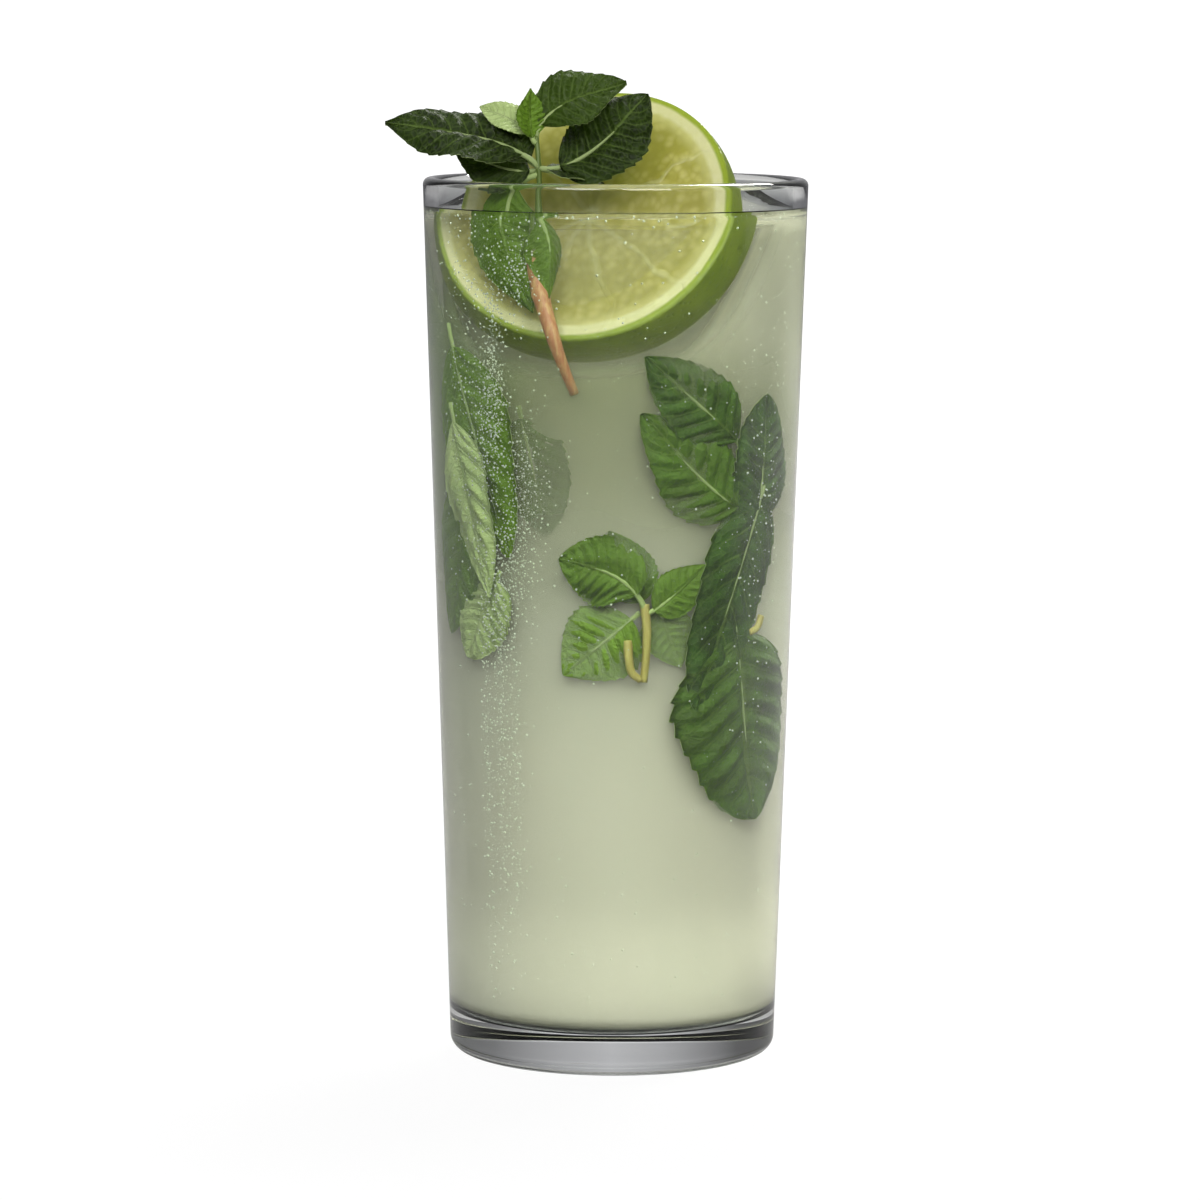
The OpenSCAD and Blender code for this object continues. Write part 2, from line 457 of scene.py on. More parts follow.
@dataclass(frozen=True)
class LimeFinish:
    """Cut lime: juice sacs, walls between segments, pith, zest and pitted rind."""

    segments: int = 10

    def make(self) -> bpy.types.Material:
        """Return the finish as a material."""
        b = Bench("lime")
        spot = b.spot()
        u, v, _ = b.axes(b.uv("wheel"))
        x = u * 2.0 - 1.0
        y = v * 2.0 - 1.0
        reach = (x * x + y * y) ** 0.5
        turn = b.node("ShaderNodeMath", {"operation": "ARCTAN2"}, {0: y, 1: x}) / math.tau
        wobble = b.noise(b.join(x, y), 2.6, 2.0)
        share = (turn * self.segments + (wobble - 0.5) * 0.9).fract()
        gap = (0.5 - abs(share - 0.5)) * reach * (math.tau / self.segments)
        wall = 1.0 - gap.ease(0.006, 0.028)
        sacs = b.cells(b.join(x * 16.0 + wobble * 3.0, y * 16.0), 1.0)
        fine = b.noise(spot, 900.0, 3.0, 0.6)
        cloud = b.noise(spot, 130.0, 3.0, 0.6)
        flesh = b.blend(sacs.ease(0.1, 0.75), tint(206, 198, 118), tint(172, 164, 76))
        flesh = b.blend(cloud.ease(0.35, 0.75) * 0.5, flesh, tint(152, 146, 64))
        flesh = b.blend(wall * wobble.ease(0.35, 0.6) * 0.35, flesh, tint(226, 226, 170))
        core = 1.0 - reach.ease(0.03, 0.085)
        flesh = b.blend(core, flesh, tint(212, 212, 152))
        pith = b.blend(fine, tint(240, 236, 190), tint(224, 222, 160))
        edge = reach + (cloud - 0.5) * 0.03
        soft = b.blend(edge.ease(0.78, 0.88) * 0.6, flesh, tint(226, 222, 152))
        face = b.blend(edge.ease(0.862, 0.9), soft, pith)
        face = b.blend(edge.ease(0.945, 0.972), face, tint(146, 168, 40))
        pits = b.cells(spot, 900.0)
        skin = b.blend(cloud.ease(0.3, 0.7), tint(92, 122, 26), tint(140, 160, 48))
        skin = b.blend(pits.ease(0.0, 0.5) * 0.5, tint(78, 104, 20), skin)
        rind = b.value("rind")
        height = (
            (1.0 - rind) * (sacs * -0.2 + wall * 0.2 + fine * 0.12)
            + rind * (pits.ease(0.0, 0.4) * 0.5 + cloud * 0.6)
        )
        lime = b.principled(
            Base_Color=b.blend(rind, face, skin),
            Roughness=0.2 + 0.3 * cloud,
            Specular_IOR_Level=0.5,
            Normal=b.bump(height, 0.0004),
        )
        through = b.node("ShaderNodeBsdfTranslucent", {}, {"Color": tint(214, 222, 120)})
        return b.finish(b.mix(0.38, lime, through))


@dataclass(frozen=True)
class BubbleFinish:
    """Tiny gas bubbles that show as pale sparks."""

    def make(self) -> bpy.types.Material:
        """Return the finish as a material."""
        b = Bench("bubble")
        grain = b.noise(b.spot(), 2500.0, 1.0)
        skin = b.principled(
            Base_Color=b.blend(grain, tint(236, 242, 226), tint(206, 220, 190)),
            Roughness=0.12 + 0.2 * grain,
            Specular_IOR_Level=0.8,
        )
        clear = b.node("ShaderNodeBsdfTransparent")
        return b.finish(b.mix(0.45 + 0.25 * grain, clear, skin))


@dataclass(frozen=True)
class FloorFinish:
    """Studio floor with a faint grain: plain white to the camera, grey to other rays and darker in front as
    painted shade of the room's unlit front, with a painted glow to bounced light.
    """

    def make(self) -> bpy.types.Material:
        """Return the finish as a material."""
        b = Bench("studio_floor")
        spot = b.spot()
        grain = b.noise(spot, 14.0, 4.0)
        depth = b.axes(spot)[1]
        # Painted shade: darker in front, where the unlit front of the room shows in reflections
        paper = b.blend(depth.ease(-0.2, 0.1), (0.1, 0.1, 0.1, 1.0), (0.34, 0.34, 0.345, 1.0))
        paper = b.blend(depth.ease(0.4, 1.2), paper, (0.5, 0.5, 0.515, 1.0))
        floor = b.principled(
            Base_Color=b.blend(grain * 0.15, paper, (0.5, 0.5, 0.5, 1.0)),
            Roughness=0.85 + 0.1 * grain,
            Specular_IOR_Level=0.1,
        )
        # Glows white to the camera, and at half strength to bounced light as a painted glow that brightens
        # the drink from below
        glow = b.node("ShaderNodeEmission", {}, {"Color": (1.0, 1.0, 1.0, 1.0), "Strength": 1.12})
        seen = b.node("ShaderNodeLightPath", out="Is Camera Ray")
        reach = b.node("ShaderNodeVectorMath", {"operation": "LENGTH"}, {0: spot}, "Value")
        bounced = b.node("ShaderNodeLightPath", out="Is Diffuse Ray")
        share = seen * (0.84 + 0.16 * reach.ease(0.05, 0.3)) + bounced * 0.5
        paper = b.finish(b.mix(share, floor, glow))
        paper.cycles.emission_sampling = "NONE"
        return paper


# ---------------------------------------------------------------- mesh writing


class Sheaf:
    """Points, faces and per-point values that become one mesh."""

    def __init__(self) -> None:
        """Start with nothing."""
        self.points: list[Array] = []
        self.faces: Faces = []
        self.values: dict[str, list[Array]] = {}
        self.maps: dict[str, list[Array]] = {}
        self.count = 0

    def add(
        self,
        points: Array,
        faces: Faces,
        values: dict[str, Array] | None = None,
        maps: dict[str, Array] | None = None,
    ) -> None:
        """Add a shell.

        Args:
            points: Its points, in millimetres.
            faces: Its faces, as rows of point numbers.
            values: Per-point numbers by name.
            maps: Per-point pairs by UV map name.
        """
        self.faces += [tuple(i + self.count for i in face) for face in faces]
        self.points.append(points)
        for store, given in ((self.values, values), (self.maps, maps)):
            for key, rows in (given or {}).items():
                store.setdefault(key, []).append(rows)
        self.count += len(points)

    def piece(self, name: str, material: bpy.types.Material) -> bpy.types.Object:
        """Return the mesh as an object at the origin.

        Args:
            name: Name of the piece.
            material: Its finish.

        Returns:
            The new object.
        """
        mesh = bpy.data.meshes.new(name)
        points = np.concatenate(self.points) * MM
        mesh.from_pydata(points.tolist(), [], self.faces)
        mesh.polygons.foreach_set("use_smooth", np.ones(len(mesh.polygons), bool))
        corners = np.zeros(len(mesh.loops), np.int64)
        mesh.loops.foreach_get("vertex_index", corners)
        for key, rows in self.maps.items():
            layer = mesh.uv_layers.new(name=key)
            layer.data.foreach_set("uv", np.concatenate(rows)[corners].astype(np.float32).ravel())
        for key, rows in self.values.items():
            layer = mesh.attributes.new(key, "FLOAT", "POINT")
            layer.data.foreach_set("value", np.concatenate(rows).astype(np.float32))
        mesh.materials.append(material)
        mesh.update()
        made = bpy.data.objects.new(name, mesh)
        bpy.context.scene.collection.objects.link(made)
        return made


def grid_faces(rows: int, cols: int, start: int = 0, flip: bool = False) -> Faces:
    """Return the quads of a grid of points.

    Args:
        rows: Points along the first way.
        cols: Points along the second way.
        start: Number of the grid's first point.
        flip: True to turn the quads over.

    Returns:
        Quads as rows of point numbers.
    """
    quads = []
    for i in range(rows - 1):
        for j in range(cols - 1):
            a = start + i * cols + j
            quad = (a, a + 1, a + cols + 1, a + cols)
            quads.append(quad[::-1] if flip else quad)
    return quads


def tube(path: Array, radii: Array, sides: int, squareness: float = 0.0) -> tuple[Array, Faces]:
    """Build a closed tube along a path.

    Args:
        path: Points of the middle line.
        radii: Radius at each point.
        sides: Points round the tube.
        squareness: How square the section is, from 0.

    Returns:
        Points and faces.
    """
    points = []
    tangents = np.gradient(path, axis=0)
    across = np.array([1.0, 0.0, 0.0])
    for spot, tangent, radius in zip(path, tangents, radii):
        tangent = unit(tangent)
        across = unit(across - tangent * (across @ tangent))
        other = np.cross(tangent, across)
        for k in range(sides):
            a = math.tau * k / sides
            r = radius * (1.0 + squareness * math.cos(4 * a))
            points.append(spot + r * (math.cos(a) * across + math.sin(a) * other))
    faces = []
    rows = len(path)
    for i in range(rows - 1):
        for k in range(sides):
            n = (k + 1) % sides
            faces.append((i * sides + k, i * sides + n, (i + 1) * sides + n, (i + 1) * sides + k))
    faces.append(tuple(range(sides))[::-1])
    faces.append(tuple((rows - 1) * sides + k for k in range(sides)))
    return np.array(points), faces


def curve_through(stops: Array, steps: int) -> Array:
    """Run a smooth curve through the stops.

    Args:
        stops: Points to pass.
        steps: Steps to each stretch.

    Returns:
        Points of the curve.
    """
    ends = np.vstack([2 * stops[0] - stops[1], stops, 2 * stops[-1] - stops[-2]])
    points = []
    for i in range(1, len(ends) - 2):
        p0, p1, p2, p3 = ends[i - 1 : i + 3]
        for k in range(steps):
            t = k / steps
            points.append(
                0.5 * (2 * p1 + (p2 - p0) * t + (2 * p0 - 5 * p1 + 4 * p2 - p3) * t**2
                       + (3 * p1 - p0 - 3 * p2 + p3) * t**3)
            )
    points.append(stops[-1])
    return np.array(points)


# ---------------------------------------------------------------- geometry nodes


class NodeForm:
    """A Geometry Nodes tree with named inputs, and the way to run it once."""

    def __init__(self, name: str) -> None:
        """Start an empty tree with a Geometry input and output.

        Args:
            name: Name of the tree.
        """
        self.tree = bpy.data.node_groups.new(name, "GeometryNodeTree")
        face = self.tree.interface
        face.new_socket("Geometry", in_out="INPUT", socket_type="NodeSocketGeometry")
        face.new_socket("Geometry", in_out="OUTPUT", socket_type="NodeSocketGeometry")
        self.entry = self.tree.nodes.new("NodeGroupInput")
        self.exit = self.tree.nodes.new("NodeGroupOutput")

    def ask(self, name: str, kind: str) -> None:
        """Add a named input of a socket type."""
        self.tree.interface.new_socket(name, in_out="INPUT", socket_type=kind)

    def given(self, name: str) -> bpy.types.NodeSocket:
        """Return a named input's socket inside the tree."""
        return self.entry.outputs[name]

    def node(
        self, kind: str, settings: dict[str, Any] | None = None, values: dict[Any, Any] | None = None
    ) -> bpy.types.Node:
        """Add a node, set it up and wire it.

        Args:
            kind: The node's type.
            settings: Its properties, set first.
            values: Sockets by name or number, each a socket or a constant.

        Returns:
            The node.
        """
        made = self.tree.nodes.new(kind)
        for key, value in (settings or {}).items():
            setattr(made, key, value)
        for key, value in (values or {}).items():
            if isinstance(value, bpy.types.NodeSocket):
                self.tree.links.new(value, made.inputs[key])
            else:
                made.inputs[key].default_value = value
        return made

    def sum(self, operation: str, *values: Any) -> bpy.types.NodeSocket:
        """Add one Math node and return its output."""
        return self.node("ShaderNodeMath", {"operation": operation}, dict(enumerate(values))).outputs[0]

    def close(self, geometry: bpy.types.NodeSocket) -> None:
        """End in Realize Instances and Set Material."""
        real = self.node("GeometryNodeRealizeInstances", {}, {0: geometry})
        done = self.node(
            "GeometryNodeSetMaterial", {}, {"Geometry": real.outputs[0], "Material": self.given("Finish")}
        )
        self.tree.links.new(done.outputs[0], self.exit.inputs[0])

    def run(self, name: str, base: bpy.types.Object, inputs: dict[str, Any]) -> bpy.types.Object:
        """Run the tree on a base object and keep the result as a plain mesh.

        Args:
            name: Name of the piece.
            base: Object that carries the tree; it is removed.
            inputs: Values of the named inputs.

        Returns:
            The finished piece.
        """
        step = base.modifiers.new(name, "NODES")
        step.node_group = self.tree
        keys = {s.name: s.identifier for s in self.tree.interface.items_tree if s.in_out == "INPUT"}
        for key, value in inputs.items():
            step[keys[key]] = value
        bpy.context.view_layer.update()
        graph = bpy.context.evaluated_depsgraph_get()
        mesh = bpy.data.meshes.new_from_object(base.evaluated_get(graph))
        mesh.name = name
        mesh.polygons.foreach_set("use_smooth", np.ones(len(mesh.polygons), bool))
        bpy.data.objects.remove(base)
        made = bpy.data.objects.new(name, mesh)
        bpy.context.scene.collection.objects.link(made)
        return made


class Lathe(NodeForm):
    """Turns a profile, given as a line of points, once round the Z axis."""

    def __init__(self) -> None:
        """Write the tree."""
        super().__init__("lathe")
        self.ask("Turns", "NodeSocketInt")
        self.ask("Rows", "NodeSocketInt")
        self.ask("Finish", "NodeSocketMaterial")
        rows = self.given("Rows")
        columns = self.sum("ADD", self.given("Turns"), 1.0)
        sheet = self.node(
            "GeometryNodeMeshGrid",
            {},
            {"Size X": 1.0, "Size Y": 1.0, "Vertices X": columns, "Vertices Y": rows},
        )
        index = self.node("GeometryNodeInputIndex").outputs[0]
        row = self.sum("MODULO", index, rows)
        column = self.sum("FLOOR", self.sum("DIVIDE", self.sum("ADD", index, 0.5), rows))
        angle = self.sum("MULTIPLY", self.sum("DIVIDE", column, self.given("Turns")), math.tau)
        place = self.node("GeometryNodeInputPosition").outputs[0]
        sample = self.node("GeometryNodeSampleIndex", {"data_type": "FLOAT_VECTOR", "domain": "POINT"})
        self.tree.links.new(self.given("Geometry"), sample.inputs["Geometry"])
        self.tree.links.new(place, sample.inputs["Value"])
        self.tree.links.new(row, sample.inputs["Index"])
        parts = self.node("ShaderNodeSeparateXYZ", {}, {0: sample.outputs[0]})
        turned = self.node(
            "ShaderNodeCombineXYZ",
            {},
            {
                0: self.sum("MULTIPLY", parts.outputs[0], self.sum("COSINE", angle)),
                1: self.sum("MULTIPLY", parts.outputs[0], self.sum("SINE", angle)),
                2: parts.outputs[2],
            },
        )
        bent = self.node(
            "GeometryNodeSetPosition", {}, {"Geometry": sheet.outputs[0], "Position": turned.outputs[0]}
        )
        closed = self.node(
            "GeometryNodeMergeByDistance", {}, {"Geometry": bent.outputs[0], "Distance": 1e-6}
        )
        self.close(closed.outputs[0])

    def turn(
        self, name: str, profile: Outline, finish: bpy.types.Material, turns: int = 192
    ) -> bpy.types.Object:
        """Turn a profile of (radius, height) pairs in millimetres.

        Args:
            name: Name of the piece.
            profile: Pairs from the lower middle round to the upper middle.
            finish: Material of the piece.
            turns: Steps round the axis.

        Returns:
            A closed piece with its faces outwards.
        """
        line = bpy.data.meshes.new(name + "_profile")
        line.from_pydata([(r * MM, 0.0, z * MM) for r, z in profile], [], [])
        base = bpy.data.objects.new(name + "_profile", line)
        bpy.context.scene.collection.objects.link(base)
        made = self.run(name, base, {"Turns": turns, "Rows": len(profile), "Finish": finish})
        face_outwards(made.data)
        return made


def face_outwards(mesh: bpy.types.Mesh) -> None:
    """Turn a closed mesh's faces over if they point inwards.

    Args:
        mesh: The mesh.
    """
    mesh.calc_loop_triangles()
    points = np.zeros(len(mesh.vertices) * 3)
    mesh.vertices.foreach_get("co", points)
    corners = np.zeros(len(mesh.loop_triangles) * 3, np.int64)
    mesh.loop_triangles.foreach_get("vertices", corners)
    tri = points.reshape(-1, 3)[corners.reshape(-1, 3)]
    volume = np.einsum("ij,ij->i", tri[:, 0], np.cross(tri[:, 1], tri[:, 2])).sum()
    if volume < 0:
        mesh.flip_normals()
    mesh.update()


# ---------------------------------------------------------------- glass and drink


@dataclass
class Tumbler:
    """The tall tapered glass."""

    height: float = 152.0
    rim: float = 66.5
    foot: float = 56.5
    wall: float = 2.4
    bottom: float = 7.0
    foot_round: float = 2.5
    well_round: float = 3.0
    punt: float = 0.9

    @property
    def taper(self) -> float:
        """Slope of the side wall from upright, in radians."""
        return math.atan((self.rim - self.foot) / 2 / self.height)

    def outer(self, z: float) -> float:
        """Outside radius at a height."""
        return self.foot / 2 + z * math.tan(self.taper)

    def inner(self, z: float) -> float:
        """Inside radius at a height."""
        return self.outer(z) - self.wall / math.cos(self.taper)

    @staticmethod
    def arc(centre: tuple[float, float], r: float, start: float, end: float, steps: int) -> Outline:
        """Return points of an arc; angles are in radians."""
        turn = [start + (end - start) * i / steps for i in range(steps + 1)]
        return [(centre[0] + r * math.cos(a), centre[1] + r * math.sin(a)) for a in turn]

    def well(self, out: float) -> Outline:
        """Return the inside bottom corner, moved outwards, from the wall to the floor."""
        z = self.bottom + self.well_round
        middle = (self.inner(z) - self.well_round / math.cos(self.taper), z)
        return self.arc(middle, self.well_round + out, -self.taper, -math.pi / 2, 10)

    def profile(self) -> Outline:
        """Return the outline from the middle of the foot round to the middle of the well."""
        lean = math.cos(self.taper)
        foot_middle = (self.outer(self.foot_round) - self.foot_round / lean, self.foot_round)
        rim_r = self.wall / 2
        rim_middle = (self.inner(self.height - rim_r) + rim_r / lean, self.height - rim_r)
        ring = foot_middle[0] - 2.2
        under = [(ring * k / 14, self.punt * (1 - (k / 14) ** 6)) for k in range(15)]
        rise = [(self.outer(z), z) for z in np.linspace(6, self.height - 4, 30)]
        fall = [(self.inner(z), z) for z in np.linspace(self.height - 4, self.bottom + 6, 30)]
        floor = [(r, self.bottom + 0.35 * (1 - (r / 22) ** 2)) for r in np.linspace(21.5, 0, 12)]
        return (
            under
            + self.arc(foot_middle, self.foot_round, -math.pi / 2, -self.taper, 12)
            + rise
            + self.arc(rim_middle, rim_r, -self.taper, math.pi - self.taper, 18)
            + fall
            + self.well(0.0)
            + floor
        )

    def build(self, lathe: Lathe) -> list[bpy.types.Object]:
        """Build the glass and let it stand for its CAD node."""
        piece = lathe.turn("tumbler", self.profile(), ClearGlass().make())
        return [seat(piece, "glass", "glass")]


@dataclass
class Drink:
    """The drink: clear liquid that reaches the wall, and the juice cloud inside it."""

    glass: Tumbler
    wheel: "LimeWheel"
    freeboard: float = 5.0
    bite: float = 0.12
    # Height that the skin climbs at the wall
    climb: float = 0.25
    # Depth below the liquid's skin and density of each layer of cloud
    layers: tuple[tuple[float, float], ...] = ((2.6, 0.15), (4.0, 0.36), (5.8, 0.68), (8.0, 1.6))

    @property
    def surface(self) -> float:
        """Height of the drink's surface."""
        return self.glass.height - self.freeboard

    def profile(self) -> Outline:
        """Return the liquid's outline, which bites a little into the wall."""
        high = self.surface + self.climb
        top = self.glass.inner(high) + self.bite
        corner = self.glass.well(self.bite)[::-1]
        floor = [(r, self.glass.bottom - self.bite) for r in np.linspace(0, 21, 8)]
        wall = [(self.glass.inner(z) + self.bite, z) for z in np.linspace(12, self.surface - 1, 40)]
        lip = self.glass.arc((top - self.climb, high), self.climb, 0, -math.pi / 2, 8)
        skin = [(r, self.surface) for r in np.linspace(top - self.climb - 2, 0, 10)]
        return floor + corner + wall + lip + skin

    def cloud(self, finish: bpy.types.Material) -> bpy.types.Object:
        """Build the layers of cloud as closed shells, thinned out in front of the wheel."""
        sheaf = Sheaf()
        turns = 144
        for depth, density in self.layers:
            low = self.glass.bottom + 0.15 + depth * 0.08
            high = self.surface - 0.5 - depth * 0.3
            steps = np.linspace(0, 1, 61)
            line = [(0.0, low)]
            foot = depth * 0.3
            bend = 2.5
            edge = self.glass.inner(low) - foot - bend
            line += [(edge + bend * math.sin(a), low + bend - bend * math.cos(a))
                     for a in np.linspace(0, math.pi / 2, 7)]
            body = low + bend + (high - low - bend) * steps[1:]
            inset = foot + (depth - foot) * smooth_step(low + bend, low + 22.0, body)
            line += [(self.glass.inner(z) - d, z) for z, d in zip(body, inset)]
            line.append((0.0, high))
            points, faces = revolve(line, turns)
            sheaf.add(points, faces, {"cloud": self.thin_out(points, density)})
        return sheaf.piece("drink_cloud", finish)

    def thin_out(self, points: Array, density: float) -> Array:
        """Return the density at each point, low in front of the lime wheel.

        Args:
            points: Points of a layer.
            density: Density of the layer.

        Returns:
            One density for each point.
        """
        offset = points - self.wheel.middle
        ahead = offset @ self.wheel.out
        aside = np.linalg.norm(offset - ahead[:, None] * self.wheel.out, axis=1)
        radius = self.wheel.diameter / 2
        clear = smooth_step(-1.5, 0.5, ahead) * (1 - smooth_step(radius, radius + 3.0, aside))
        beside = np.maximum(aside - radius, 0)
        beyond = np.maximum(np.maximum(ahead, -ahead - self.wheel.thickness), 0)
        clear = np.maximum(clear, 1 - smooth_step(2.0, 6.0, np.hypot(beside, beyond)))
        return density * (1 - 0.93 * clear)

    def build(self, lathe: Lathe) -> list[bpy.types.Object]:
        """Build the liquid and its cloud."""
        liquid = seat(lathe.turn("drink_liquid", self.profile(), Liquid().make()), "drink", "drink")
        cloud = seat(self.cloud(Haze().make()), "drink")
        return [liquid, cloud]


def revolve(line: Outline, turns: int) -> tuple[Array, Faces]:
    """Turn an outline that starts and ends on the axis, with its poles closed.

    Args:
        line: (radius, height) pairs from the lower pole to the upper one.
        turns: Steps round the axis.

    Returns:
        Points and faces that look outwards.
    """
    angles = np.linspace(0, math.tau, turns, endpoint=False)
    ring = np.stack([np.cos(angles), np.sin(angles)], axis=1)
    inside = line[1:-1]
    points = [np.array([[0.0, 0.0, line[0][1]]])]
    for r, z in inside:
        points.append(np.column_stack([ring * r, np.full(turns, z)]))
    points.append(np.array([[0.0, 0.0, line[-1][1]]]))
    faces: Faces = []
    last = 1 + len(inside) * turns
    for k in range(turns):
        n = (k + 1) % turns
        faces.append((0, 1 + n, 1 + k))
        for i in range(len(inside) - 1):
            a = 1 + i * turns
            faces.append((a + k, a + n, a + turns + n, a + turns + k))
        a = 1 + (len(inside) - 1) * turns
        faces.append((a + k, a + n, last))
    return np.concatenate(points), faces


def seat(piece: bpy.types.Object, slot: str, *nodes: str) -> bpy.types.Object:
    """Put a piece on the part's one body.

    Args:
        piece: The piece.
        slot: Not used.
        nodes: CAD nodes that it stands for.

    Returns:
        The same piece.
    """
    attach(piece, "root")
    if nodes:
        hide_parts(*nodes)
    return piece


# ---------------------------------------------------------------- lime wheel


@dataclass
class LimeWheel:
    """A thick lime wheel that leans back in the glass."""

    glass: Tumbler
    surface: float
    diameter: float = 48.5
    thickness: float = 8.2
    bulge: float = 0.3
    lean: float = 32.0
    turn: float = 20.0
    side_gap: float = 3.9
    rise: float = -0.7
    gap: float = 0.9
    stem_room: float = 3.2
    middle: Array = field(init=False)

    def __post_init__(self) -> None:
        """Work out the wheel's own directions and where its face settles."""
        lean = math.radians(self.lean)
        turn = math.radians(self.turn)
        flat = np.array([-math.sin(turn), -math.cos(turn), 0.0])
        up = np.array([0.0, 0.0, 1.0])
        self.out = math.cos(lean) * flat + math.sin(lean) * up
        self.side = np.array([math.cos(turn), -math.sin(turn), 0.0])
        self.up = math.cos(lean) * up - math.sin(lean) * flat
        self.level = self.surface + self.rise
        self.left = self.glass.inner(self.level) - self.diameter / 2 * math.cos(turn) - self.side_gap
        near, far = -self.glass.inner(self.level), 0.0
        for _ in range(14):
            half = (near + far) / 2
            if self.spare(half) < 0:
                near = half
            else:
                far = half
        self.middle = np.array([-self.left, far, self.level])

    def spare(self, depth: float) -> float:
        """Return the least spare room round the face's edge at a depth."""
        rooms = []
        for degrees in range(180, 361, 5):
            a = math.radians(degrees)
            edge = self.diameter / 2 * (math.cos(a) * self.side + math.sin(a) * self.up)
            p = np.array([-self.left, depth, self.level]) + edge
            need = self.stem_room if 235 < degrees < 285 else self.gap
            rooms.append(self.glass.inner(p[2]) - math.hypot(p[0], p[1]) - need)
        return min(rooms)

    def build(self) -> list[bpy.types.Object]:
        """Build the wheel with sunken flesh, raised walls, pith and a pitted rind."""
        rng = np.random.default_rng(5)
        radius = self.diameter / 2
        turns = 288
        angle = np.linspace(0, math.tau, turns, endpoint=False)
        shares = np.concatenate([np.linspace(0.02, 0.86, 36), np.linspace(0.875, 0.985, 10)])
        waves = rng.uniform(0, math.tau, 6)
        rim = 1 + 0.004 * np.sin(3 * angle + waves[0]) - 0.006 * np.abs(np.sin(2 * angle + waves[1]))
        rings, rind, ways = [], [], []

        def ring(share: float, depth: Array, skin: float) -> None:
            """Add one ring of points at a share of the radius and a depth behind the face."""
            across = np.cos(angle)[:, None] * self.side + np.sin(angle)[:, None] * self.up
            reach = radius * share * rim
            rings.append(self.middle + across * reach[:, None] - self.out * depth[:, None])
            rind.append(np.full(turns, skin))
            ways.append(np.column_stack([np.cos(angle), np.sin(angle)]) * share)

        def relief(share: float, side: float) -> Array:
            """Return how far the cut flesh lies below the face."""
            lobes = np.abs(np.sin(5 * angle + side + 0.35 * np.sin(angle + waves[2])))
            grain = 0.5 + 0.5 * np.sin(46 * angle + 9 * share + 2 * np.sin(31 * share * 7 + waves[3]))
            flesh = smooth_step(0.08, 0.2, np.array(share)) * (1 - smooth_step(0.86, 0.9, np.array(share)))
            return 0.05 + flesh * (0.16 * lobes**0.6 * share + 0.05 * grain * lobes * share)

        for share in shares:
            ring(share, relief(share, 0.0), 0.0)
        ring(0.996, np.full(turns, 0.28), 0.35)
        for k in range(9):
            way = k / 8
            push = self.bulge * (1 - (2 * way - 1) ** 2) / radius
            ring(1.0 + push, np.full(turns, 0.7 + (self.thickness - 1.4) * way), 1.0)
        ring(0.996, np.full(turns, self.thickness - 0.28), 0.35)
        for share in shares[::-1]:
            ring(share, self.thickness - relief(share, 1.1), 0.0)

        points = np.concatenate(rings)
        count = len(rings)
        faces = []
        for i in range(count - 1):
            for k in range(turns):
                n = (k + 1) % turns
                faces.append((i * turns + k, (i + 1) * turns + k, (i + 1) * turns + n, i * turns + n))
        first, last = len(points), len(points) + 1
        dimple = 0.2
        poles = [self.middle - self.out * depth for depth in (dimple, self.thickness - dimple)]
        points = np.vstack([points, *poles])
        for k in range(turns):
            n = (k + 1) % turns
            faces.append((first, k, n))
            faces.append((last, (count - 1) * turns + n, (count - 1) * turns + k))
        maps = np.vstack([np.concatenate(ways), [[0.0, 0.0], [0.0, 0.0]]]) * 0.5 + 0.5
        sheaf = Sheaf()
        skin = np.concatenate([np.concatenate(rind), [0.0, 0.0]])
        sheaf.add(points, faces, {"rind": skin}, {"wheel": maps})
        made = sheaf.piece("lime_slice", LimeFinish().make())
        face_outwards(made.data)
        return [seat(made, "lime", "lime_wheel")]


# ---------------------------------------------------------------- mint

# Side ribs of a leaf: how far apart they leave the spine and how far forward they run
LEAF_RANK = 0.125
LEAF_RANK_SLOPE = 0.2


class Side(Enum):
    """Which side of a leaf looks along its face direction."""

    UPPER = 0
    UNDER = 1


